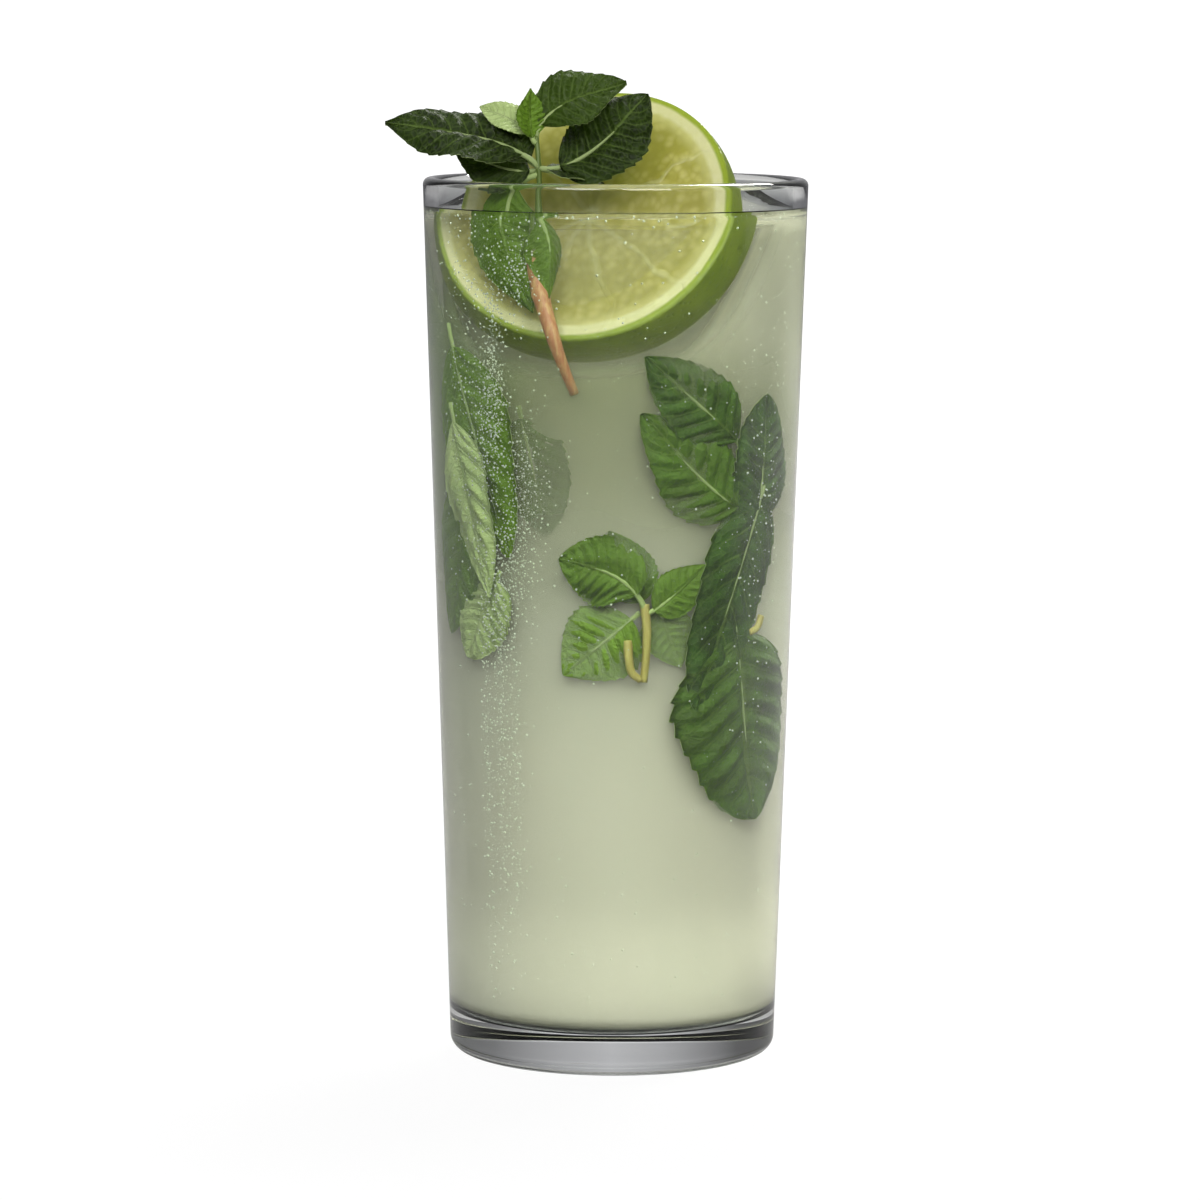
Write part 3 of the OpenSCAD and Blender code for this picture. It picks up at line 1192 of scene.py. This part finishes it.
@dataclass(frozen=True)
class Leaf:
    """One mint leaf, from where its stalk leaves the stem to its tip."""

    start: Point
    tip: Point
    width: float
    face: Point
    bow: Point = (0.0, 0.0, 0.0)
    fold: float = 0.1
    young: float = 0.0
    shows: Side = Side.UPPER
    seed: int = 1
    twist: float = 0.0
    curl: float = 0.0
    thickness: float = 0.32
    stalk: float = 1.0
    bud: float = 0.1
    crumple: float = 1.0
    blunt: float = 1.0

    def middle(self, t: Array) -> Array:
        """Return points of the spine at shares of the length."""
        a, b, bow = (np.array(p, float) for p in (self.start, self.tip, self.bow))
        swell = np.sin(math.pi * np.clip(t, 0, None) ** 0.6)
        return a + np.outer(t, b - a) + np.outer(swell, bow)

    def add_to(self, sheaf: Sheaf) -> None:
        """Add the leaf's blade and stalk to a sheaf.

        Args:
            sheaf: Where the shells go.
        """
        rng = np.random.default_rng(self.seed)
        rows, cols = 73, 21
        share = np.linspace(0, 1, rows)
        t = self.bud + (1 - self.bud) * share
        s = np.linspace(-1, 1, cols)
        ahead = np.clip(t + 0.01, 0, 1)
        behind = np.clip(t - 0.01, 0, 1)
        along = self.middle(ahead) - self.middle(behind)
        along /= np.linalg.norm(along, axis=1)[:, None]
        face = np.array(self.face, float)
        out = face - along * (along @ face)[:, None]
        out /= np.linalg.norm(out, axis=1)[:, None]
        side = np.cross(along, out)
        bend = np.radians(self.twist) * (share - 0.4)
        out, side = (
            out * np.cos(bend)[:, None] + side * np.sin(bend)[:, None],
            side * np.cos(bend)[:, None] - out * np.sin(bend)[:, None],
        )
        teeth = 11
        saw = (share * teeth + 0.15 * math.sin(self.seed)) % 1.0
        notch = (saw**1.4 - 0.45) * smooth_step(0.08, 0.25, share) * (1 - 0.3 * share)
        blade = np.clip(np.sin(math.pi * np.clip(share, 0, 1) ** 0.75), 0, 1) ** self.blunt
        wide = self.width / 2 * blade * (1 + 0.085 * notch)
        wide = np.maximum(wide, 0.12)
        wave = rng.uniform(0, math.tau, 4)
        edge = np.abs(s)[None, :]
        place = share[:, None]
        rank = (place - LEAF_RANK_SLOPE * edge**1.2 - 0.02) / LEAF_RANK
        pucker = np.sin(math.pi * rank) ** 2
        size = self.width / 12.0
        full = blade[:, None]
        way = s[None, :]
        arch = np.sin(math.pi * np.clip(edge * 0.92 + 0.04, 0, 1))
        quilt = 0.55 * size * pucker * arch * full
        spine = -0.35 * size * np.exp(-((edge / 0.07) ** 2)) * full
        ripple = 0.55 * size * edge**2 * np.sin(9 * place + wave[0] + np.sign(way)) * full
        lumps = 0.25 * size * np.sin(7 * place + 3 * way + wave[1]) * np.sin(5 * way + wave[2])
        uneven = self.crumple * (quilt + ripple + lumps) + spine
        lift = (self.fold * edge + self.curl * edge**2) * wide[:, None] + uneven
        spread = way * wide[:, None]
        middle = self.middle(t)[:, None, :]
        sheet = middle + side[:, None, :] * spread[:, :, None] + out[:, None, :] * lift[:, :, None]
        half = self.thickness / 2 * (1 - 0.55 * edge**4)
        up = sheet + out[:, None, :] * half[:, :, None]
        down = sheet - out[:, None, :] * half[:, :, None]
        points = np.concatenate([up.reshape(-1, 3), down.reshape(-1, 3)])
        n = rows * cols
        faces = grid_faces(rows, cols, 0, True) + grid_faces(rows, cols, n, False)
        for i in range(rows - 1):
            a, c = i * cols, (i + 1) * cols
            faces.append((a, c, c + n, a + n))
            b, d = a + cols - 1, c + cols - 1
            faces.append((b, b + n, d + n, d))
        for j in range(cols - 1):
            faces.append((j, j + n, j + 1 + n, j + 1))
            a = (rows - 1) * cols + j
            faces.append((a, a + 1, a + 1 + n, a + n))
        length = np.linalg.norm(np.array(self.tip) - np.array(self.start))
        blade_map = np.column_stack([np.tile(s * 0.5 + 0.5, rows), np.repeat(share, cols)])
        flat_map = np.column_stack([spread.ravel(), np.repeat(share * length, cols)]) * 0.01
        flat_map += self.seed * 0.37
        shade = np.full(n, self.young) + 0.12 * (1 - edge * np.ones((rows, 1))).ravel() * self.young
        sides = [0.0, 1.0] if self.shows is Side.UPPER else [1.0, 0.0]
        values = {
            "young": np.tile(shade, 2),
            "under": np.repeat(sides, n),
        }
        maps = {"blade": np.tile(blade_map, (2, 1)), "flat": np.tile(flat_map, (2, 1))}
        sheaf.add(points, faces, values, maps)
        self.add_stalk(sheaf, out[0])

    def add_stalk(self, sheaf: Sheaf, out: Array) -> None:
        """Add the stalk and the spine that runs on under the blade.

        Args:
            sheaf: Where the shells go.
            out: Direction that the leaf's face looks in at its root.
        """
        t = np.linspace(0, 0.62, 22)
        path = self.middle(t) - np.outer(np.clip(t / 0.1, 0, 1), out) * 0.25
        radii = self.stalk / 2 * (1 - t / 0.62) ** 0.7 * 0.9 + 0.06
        points, faces = tube(path, radii, 8)
        count = len(points)
        values = {"young": np.full(count, min(1.0, self.young + 0.35)), "under": np.full(count, 0.55)}
        maps = {"blade": np.full((count, 2), 0.5), "flat": np.full((count, 2), 0.3)}
        sheaf.add(points, faces, values, maps)


@dataclass
class MintSprig:
    """The sprig that stands in the drink in front of the lime wheel."""

    glass: Tumbler
    wheel: LimeWheel
    stem: float = 2.4
    stem_gap: float = 0.4
    tail: float = 9.0
    left: float = 13.0
    rise: float = 2.2
    link: float = 5.6

    def between(self, x: float, z: float, k: float) -> Array:
        """Return a place between the wheel's face, k = 0, and the wall, k = 1."""
        w = self.wheel
        face = w.middle[1] - (w.out[0] * (x - w.middle[0]) + w.out[2] * (z - w.middle[2])) / w.out[1]
        wall = -math.sqrt(self.glass.inner(min(z, self.glass.height)) ** 2 - x * x)
        return np.array([x, face + k * (wall - face), z])

    def stops(self) -> tuple[Array, Array, Array]:
        """Return the lower joint, the upper joint and the stem's stops from the top down."""
        w = self.wheel
        low = w.middle - w.diameter / 2 * w.up
        x = low[0] - 1.5
        r = self.glass.inner(low[2]) - self.stem / 2 - self.stem_gap
        joint = self.between(-self.left, self.glass.height + self.rise, 0.68)
        upper = joint + self.link * unit(np.array([-0.6, 2.0, 7.0]))
        squeeze = np.array([x, -math.sqrt(r * r - x * x), low[2]])
        drop = w.middle[2] - low[2]
        stops = [
            upper,
            joint,
            self.between(joint[0] + 0.4, w.level - 0.15 * drop, 0.62),
            self.between(joint[0] + 0.6, w.level - 0.49 * drop, 0.56),
            squeeze,
            squeeze + np.array([0.38 * self.tail, 1.5, -self.tail]),
        ]
        return joint, upper, np.array(stops)

    def leaves(self) -> list[Leaf]:
        """Return every leaf of the sprig."""
        joint, upper, stops = self.stops()
        level = self.wheel.level

        def from_joint(*step: float) -> Point:
            """Return a place measured from the lower joint."""
            return tuple(joint + np.array(step))

        def from_upper(*step: float) -> Point:
            """Return a place measured from the upper joint."""
            return tuple(upper + np.array(step))

        drop = self.wheel.diameter / 2 * self.wheel.up[2]
        hang_tip = tuple(self.between(joint[0] - 0.1, level - 0.78 * drop, 0.5))
        small_tip = tuple(self.between(joint[0] + 2.4, level - 0.66 * drop, 0.62))
        small_start = tuple(stops[2] + np.array([-0.2, -0.5, 3.4]))
        return [
            # Leaves that hang into the drink
            Leaf(from_joint(0, 0, -1), hang_tip, 12.6, (-0.4, -0.9, 0), (-5.0, 2.2, 0), -0.3,
                 seed=3, young=0.46, thickness=0.4, twist=10),
            Leaf(small_start, small_tip, 6.6, (0.4, -0.92, 0), (1.6, -0.2, 0), -0.5,
                 seed=4, young=0.5, bud=0.02, curl=-0.3),
            # Long leaf over the rim, and two small ones behind it
            Leaf(from_joint(0, 0, 0), from_joint(-26, 3, 7.4), 14.0, (0, -0.62, 0.8), (0, 0, 2.4), 0.1,
                 seed=5, curl=-0.16, twist=-22, crumple=1.6),
            Leaf(from_joint(0, 0.4, 0.2), from_joint(-14.6, 4.6, 3.0), 10.0, (0.1, -0.9, 0.35),
                 (0, 0, -1.4), 0.1, seed=6, crumple=1.4),
            Leaf(from_joint(0, 0.8, 0.4), from_joint(-6.4, 3.6, 8.6), 8.0, (0.3, -0.9, 0.3),
                 (-1.2, 0, 0), 0.1, seed=12, crumple=1.4),
            # Broad leaf on the right and a low one inside the rim
            Leaf(from_joint(0, 0, 0), from_joint(18.4, 4.8, 12.4), 14.4, (-0.25, -0.9, 0.35),
                 (2.4, 0, -1.4), 0.12, seed=7, curl=-0.2, twist=16, crumple=1.8, blunt=0.72),
            Leaf(from_joint(0, 0, 0), from_joint(11, 2.5, -2.8), 7.0, (0, -0.25, 0.95),
                 (0, 0, 0.3), 0.1, seed=8),
            # Top leaves
            Leaf(from_upper(0, 0, -0.8), from_upper(15.2, 2, 9.0), 11.6, (-0.25, -0.8, 0.55),
                 (-1.2, 0, 2.4), 0.12, seed=9, young=0.12, twist=-14, crumple=1.6, blunt=0.85),
            Leaf(from_upper(0, 0, -0.6), from_upper(-9.6, 3, 4.8), 6.2, (0.3, -0.8, 0.5),
                 (0, 0, 0.8), 0.25, seed=10, young=0.75, shows=Side.UNDER, blunt=0.8),
            Leaf(from_upper(0, -0.4, -1.2), from_upper(-1.0, 0.4, 8.0), 6.0, (0.5, -0.9, 0.1),
                 (-0.7, 0, 0), 0.3, seed=11, young=0.7, crumple=1.4),
        ]

    def build(self) -> list[bpy.types.Object]:
        """Build the stem and the leaves as two pieces that stand for one CAD node."""
        joint, _, stops = self.stops()
        path = curve_through(stops, 10)
        along = np.linspace(0, 1, len(path))
        knots = [0.2, 0.66]
        swell = 1 + sum(0.22 * np.exp(-(((along - k) / 0.018) ** 2)) for k in knots)
        tail = 1 - 0.42 * smooth_step(0.68, 1.0, along)
        radii = self.stem / 2 * swell * (0.34 + 0.72 * smooth_step(0.25, 0.52, along)) * tail
        points, faces = tube(path, radii, 16, 0.05)
        green = 1 - smooth_step(0.46, 0.54, np.repeat(along, 16))
        stem = Sheaf()
        stem.add(points, faces, {"green": green})
        stalk = stem.piece("mint_stem", MintStemFinish().make())
        face_outwards(stalk.data)
        blades = Sheaf()
        for leaf in self.leaves():
            leaf.add_to(blades)
        leaves = blades.piece("mint_leaves", MintLeafFinish().make())
        return [seat(leaves, "mint", "mint_sprig"), seat(stalk, "mint")]


@dataclass
class SunkMint:
    """Loose leaves and a small sprig that float in the drink."""

    @staticmethod
    def drift(
        start: Point,
        tip: Point,
        width: float,
        seed: int,
        sag: Point = (0.0, 0.0, 0.0),
        **more: Any,
    ) -> Leaf:
        """Lay a leaf along the wall, bent to its round.

        Args:
            start: Where its stalk begins.
            tip: Its tip.
            width: Its width.
            seed: Seed of its small uneven shapes.
            sag: Extra bow of its spine.
            more: Further fields of the leaf.

        Returns:
            The leaf.
        """
        middle = (np.array(start) + np.array(tip)) / 2
        reach = math.hypot(middle[0], middle[1])
        wanted = (math.hypot(start[0], start[1]) + math.hypot(tip[0], tip[1])) / 2
        out = np.array([middle[0] / reach, middle[1] / reach, 0.0])
        bow = tuple(out * (wanted - reach) + np.array(sag))
        settings = {"fold": 0.0, "curl": -width / (4 * wanted)} | more
        return Leaf(start, tip, width, tuple(out), bow, seed=seed, **settings)

    def leaves(self) -> list[Leaf]:
        """Return every sunk leaf."""
        lay = self.drift
        pale = Side.UNDER
        return [
            # Upper right pair
            lay((20.3, -17.0, 106.9), (4.8, -27.4, 123.2), 13.0, 21, young=0.08, blunt=0.85, crumple=1.5),
            lay((20.5, -15.9, 97.8), (4.3, -27.5, 113.6), 14.5, 22, (0, 0, -3.0), young=0.26, twist=10,
                blunt=0.8, crumple=1.4),
            # Long dark leaves at the right
            lay((22.6, -14.2, 92.0), (24.0, -13.4, 116.0), 15.0, 23, (0.4, -0.3, 0), blunt=0.6),
            lay((23.6, -12.8, 100.5), (13.4, -23.2, 62.5), 15.0, 24, (0.3, -0.2, 2.0), blunt=0.6),
            # Big leaf low at the right
            lay((19.0, -17.6, 78.5), (22.6, -13.0, 42.6), 27.0, 25, (0.2, -0.5, 0), young=0.16, blunt=0.55),
            # Left cluster
            lay((-25.8, -9.5, 127.5), (-16.9, -20.3, 88.5), 17.0, 26, young=0.55, blunt=0.8),
            lay((-26.1, -10.9, 114.0), (-20.1, -19.2, 81.5), 12.0, 27, young=0.8, shows=pale, crumple=1.5),
            lay((-14.9, -18.5, 114.3), (-10.5, -21.0, 92.6), 13.0, 28, young=0.1, blunt=0.6),
            lay((-18.2, -18.9, 86.0), (-23.0, -12.4, 70.5), 12.0, 29, young=0.9, shows=pale, blunt=0.5),
            lay((-21.7, -15.4, 108.0), (-25.4, -7.8, 74.0), 15.0, 38, young=0.4, blunt=0.7),
            # Small sprig in the middle
            lay((5.1, -26.1, 79.8), (-9.0, -25.6, 88.9), 12.5, 30, (0, 0, 3.0),
                young=0.42, blunt=0.7, crumple=1.6),
            lay((4.9, -25.6, 80.2), (-0.9, -25.0, 93.6), 9.5, 31, young=0.3, blunt=0.8, crumple=1.4),
            lay((5.3, -26.1, 79.8), (14.8, -22.4, 87.6), 8.0, 32, (0, 0, -0.6), young=0.5, blunt=0.8),
            lay((4.1, -25.0, 79.7), (-8.2, -24.2, 69.0), 14.0, 33, young=0.75, blunt=0.8),
            lay((6.5, -24.3, 81.6), (10.6, -22.4, 70.2), 9.0, 34, young=0.6, blunt=0.8),
            # Leaves round the back
            lay((14.0, 22.6, 118.0), (-2.0, 26.2, 104.0), 13.0, 35, young=0.1),
            lay((-10.0, 24.6, 88.0), (-22.8, 14.2, 66.0), 14.0, 36, young=0.25),
            lay((22.6, 13.0, 64.0), (12.0, 22.8, 46.0), 12.0, 37, young=0.1),
            lay((24.6, 10.0, 108.0), (17.0, 19.8, 88.0), 11.0, 39, young=0.5, shows=pale),
        ]

    def build(self) -> list[bpy.types.Object]:
        """Build the sunk leaves and the small sprig's stems."""
        blades = Sheaf()
        for leaf in self.leaves():
            leaf.add_to(blades)
        finish = MintLeafFinish("sunk_leaf", tint(30, 50, 8), tint(56, 92, 20), tint(126, 166, 46)).make()
        leaves = blades.piece("sunk_leaves", finish)
        stems = Sheaf()
        runs = [
            [(4.9, -26.0, 81.2), (5.3, -26.5, 77.0), (5.2, -26.4, 72.5), (4.8, -26.1, 68.0)],
            [(2.2, -25.8, 75.0), (2.4, -26.5, 72.0), (2.9, -26.3, 69.6), (4.4, -26.1, 68.3)],
            [(23.4, -13.0, 77.8), (22.9, -13.9, 76.0), (21.6, -15.4, 75.2)],
        ]
        for run in runs:
            path = curve_through(np.array(run), 8)
            points, faces = tube(path, np.linspace(0.75, 0.6, len(path)), 10, 0.04)
            stems.add(points, faces, {"green": np.full(len(points), 0.3)})
        stalks = stems.piece("sunk_stems", MintStemFinish(tint(176, 160, 82), tint(214, 206, 120)).make())
        face_outwards(stalks.data)
        return [seat(leaves, "mint"), seat(stalks, "mint")]


# ---------------------------------------------------------------- bubbles


class Fizz(NodeForm):
    """Strews small spheres over a surface, as thick as its own froth value says."""

    def __init__(self) -> None:
        """Write the tree."""
        super().__init__("fizz")
        self.ask("Density", "NodeSocketFloat")
        self.ask("Smallest", "NodeSocketFloat")
        self.ask("Largest", "NodeSocketFloat")
        self.ask("Seed", "NodeSocketInt")
        self.ask("Finish", "NodeSocketMaterial")
        froth = self.node("GeometryNodeInputNamedAttribute", {"data_type": "FLOAT"}, {"Name": "froth"})
        strewn = self.node(
            "GeometryNodeDistributePointsOnFaces",
            {"distribute_method": "RANDOM"},
            {
                "Mesh": self.given("Geometry"),
                "Density": self.sum("MULTIPLY", froth.outputs[0], self.given("Density")),
                "Seed": self.given("Seed"),
            },
        )
        ball = self.node("GeometryNodeMeshIcoSphere", {}, {"Radius": 1.0, "Subdivisions": 1})
        dice = self.node(
            "FunctionNodeRandomValue", {"data_type": "FLOAT"}, {"Seed": self.given("Seed")}
        )
        spread = self.sum("POWER", dice.outputs[1], 2.5)
        range_size = self.sum("SUBTRACT", self.given("Largest"), self.given("Smallest"))
        size = self.sum("ADD", self.given("Smallest"), self.sum("MULTIPLY", spread, range_size))
        balls = self.node(
            "GeometryNodeInstanceOnPoints",
            {},
            {"Points": strewn.outputs[0], "Instance": ball.outputs[0], "Scale": size},
        )
        self.close(balls.outputs[0])


@dataclass
class Bubbles:
    """Fine gas bubbles that cling to the wall and ring the drink's surface."""

    glass: Tumbler
    surface: float

    def froth(self, angle: Array, z: Array) -> Array:
        """Return how thick the bubbles are at an angle and a height.

        Args:
            angle: Angle round the axis in radians, 0 at +X and -pi/2 at the front.
            z: Height in millimetres.

        Returns:
            Share from 0 to 1.
        """
        patches = [
            (-2.14, 136.0, 0.08, 6.0, 0.6),
            (-2.3, 126.0, 0.05, 10.0, 0.9),
            (-2.32, 113.0, 0.07, 9.0, 0.9),
            (-2.1, 103.0, 0.1, 9.0, 0.4),
            (-2.15, 90.0, 0.1, 10.0, 0.5),
            (-2.3, 78.0, 0.08, 9.0, 0.5),
            (-2.42, 60.0, 0.03, 34.0, 0.5),
            (-2.3, 70.0, 0.025, 26.0, 0.6),
            (-2.2, 58.0, 0.02, 30.0, 0.35),
            (-2.25, 45.0, 0.1, 26.0, 0.18),
            (-2.5, 120.0, 0.2, 30.0, 0.15),
            (-0.55, 100.0, 0.2, 30.0, 0.06),
            (0.9, 90.0, 0.3, 30.0, 0.12),
            (2.3, 60.0, 0.3, 30.0, 0.12),
        ]
        total = np.full(angle.shape, 0.008)
        for middle, height, wide, tall, much in patches:
            away = (angle - middle + math.pi) % math.tau - math.pi
            total += much * np.exp(-((away / wide) ** 2) - ((z - height) / tall) ** 2)
        line = np.exp(-(((z - self.surface + 0.9) / 0.5) ** 2)) * 0.25
        return np.clip(total + line, 0, 1)

    def build(self) -> list[bpy.types.Object]:
        """Build the bubbles from a carrier just inside the wall."""
        turns, rows = 180, 120
        heights = np.linspace(12, self.surface - 0.5, rows)
        angle = np.linspace(0, math.tau, turns + 1)
        points, froth = [], []
        for z in heights:
            r = self.glass.inner(z) - 0.28
            points += [(r * math.cos(a) * MM, r * math.sin(a) * MM, z * MM) for a in angle]
            froth.append(self.froth(angle, np.full(turns + 1, z)))
        mesh = bpy.data.meshes.new("fizz_carrier")
        mesh.from_pydata(points, [], grid_faces(rows, turns + 1))
        layer = mesh.attributes.new("froth", "FLOAT", "POINT")
        layer.data.foreach_set("value", np.concatenate(froth).astype(np.float32))
        base = bpy.data.objects.new("fizz_carrier", mesh)
        bpy.context.scene.collection.objects.link(base)
        inputs = {
            "Density": 1.1e7,
            "Smallest": 0.00005,
            "Largest": 0.00024,
            "Seed": 4,
            "Finish": BubbleFinish().make(),
        }
        return [seat(Fizz().run("bubbles", base, inputs), "drink")]


# ---------------------------------------------------------------- studio


@dataclass
class Studio:
    """Floor, lights and camera."""

    eye: Point = (-0.0024, -0.9, 0.184)
    aim: Point = (-0.0024, 0.0, 0.0787)
    lens: float = 156.3
    roll: float = 0.23

    def floor(self) -> bpy.types.Object:
        """Build the pale floor."""
        reach, steps = 12.0, 24
        ways = np.linspace(-reach, reach, steps + 1)
        points = [(x, y, -0.0002) for x in ways for y in ways]
        mesh = bpy.data.meshes.new("studio_floor")
        mesh.from_pydata(points, [], grid_faces(steps + 1, steps + 1, 0, True))
        mesh.materials.append(FloorFinish().make())
        floor = bpy.data.objects.new("studio_floor", mesh)
        bpy.context.scene.collection.objects.link(floor)
        return floor

    def lamp(self, name: str, place: Point, size: float, power: float, colour: Point) -> None:
        """Hang a square soft lamp that looks at the glass.

        Args:
            name: Name of the lamp.
            place: Where it hangs, in metres.
            size: Side of the square, in metres.
            power: Power in watts.
            colour: Linear colour.
        """
        light = bpy.data.lights.new(name, "AREA")
        light.shape = "SQUARE"
        light.size = size
        light.energy = power
        light.color = colour
        made = bpy.data.objects.new(name, light)
        made.location = place
        aim = Vector((0.0, 0.0, 0.09)) - Vector(place)
        made.rotation_euler = aim.to_track_quat("-Z", "Y").to_euler()
        bpy.context.scene.collection.objects.link(made)

    def sky(self) -> None:
        """Light the room from behind, darker at the sides and the front."""
        world = bpy.data.worlds.new("studio_room")
        bpy.context.scene.world = world
        b = Bench("studio_room", world)

        def greys(share: Wire, stops: Outline) -> Wire:
            """Colour a value by a ramp of (place, brightness) pairs."""
            return b.ramp(share, [(place, (g, g, g * 1.01, 1.0)) for place, g in stops])

        x, y, z = b.axes(b.node("ShaderNodeTexCoord", out="Generated"))
        sides = [(0.0, 0.06), (0.2, 0.2), (0.4, 0.8), (0.5, 1.0), (0.6, 0.8), (0.78, 0.36), (1.0, 0.15)]
        across = greys(x * 0.5 + 0.5, sides)
        depth = greys(y * 0.5 + 0.5, [(0.0, 0.3), (0.4, 0.4), (0.75, 1.0), (1.0, 1.0)])
        rise = greys(z, [(0.0, 0.42), (0.22, 0.5), (0.6, 1.15)])
        times = {"operation": "MULTIPLY"}
        shade = b.node("ShaderNodeVectorMath", times, {0: across, 1: depth})
        shade = b.node("ShaderNodeVectorMath", times, {0: shade, 1: rise})
        seen = b.node("ShaderNodeLightPath", out="Is Camera Ray")
        room = b.blend(seen, shade, PAPER_WHITE)
        back = b.node("ShaderNodeBackground", {}, {"Color": room, "Strength": 1.0})
        b.node("ShaderNodeOutputWorld", {}, {"Surface": back})

    def camera(self) -> None:
        """Set the camera level with the upper half of the glass, looking slightly down."""
        data = bpy.data.cameras.new("camera")
        data.lens = self.lens
        data.sensor_width = 36.0
        data.clip_end = 50.0
        made = bpy.data.objects.new("camera", data)
        made.location = self.eye
        aim = Vector(self.aim) - Vector(self.eye)
        turn = aim.to_track_quat("-Z", "Y").to_matrix()
        tilt = Vector((0, 0, 1))
        made.rotation_euler = (turn @ Matrix.Rotation(math.radians(self.roll), 3, tilt)).to_euler()
        bpy.context.scene.collection.objects.link(made)
        bpy.context.scene.camera = made

    def build(self) -> None:
        """Set up the studio."""
        self.floor()
        self.sky()
        self.lamp("key_lamp", (0.5, 0.8, 1.1), 0.5, 20.0, (1.0, 0.98, 0.94))
        self.lamp("right_lamp", (0.5, -1.35, 1.1), 0.8, 17.0, (1.0, 0.99, 0.97))
        self.lamp("left_lamp", (-0.6, -1.3, 1.15), 0.8, 15.0, (0.98, 0.99, 1.0))
        self.camera()
        scene = bpy.context.scene
        scene.view_settings.view_transform = "Standard"
        scene.cycles.transparent_max_bounces = 12
        scene.cycles.max_bounces = 7
        scene.cycles.diffuse_bounces = 2
        scene.cycles.glossy_bounces = 2
        scene.cycles.transmission_bounces = 6


def main() -> None:
    """Build every piece in order and report it."""
    logging.basicConfig(level=logging.INFO, format="%(name)s: %(message)s")
    glass = Tumbler()
    wheel = LimeWheel(glass, glass.height - Drink.freeboard)
    drink = Drink(glass, wheel)
    lathe = Lathe()
    steps: list[Callable[[], list[bpy.types.Object]]] = [
        lambda: glass.build(lathe),
        lambda: drink.build(lathe),
        wheel.build,
        MintSprig(glass, wheel).build,
        SunkMint().build,
        Bubbles(glass, drink.surface).build,
    ]
    for step in steps:
        for piece in step():
            log.info("%s: %d faces", piece.name, len(piece.data.polygons))
    Studio().build()


if __name__ == "__main__":
    main()
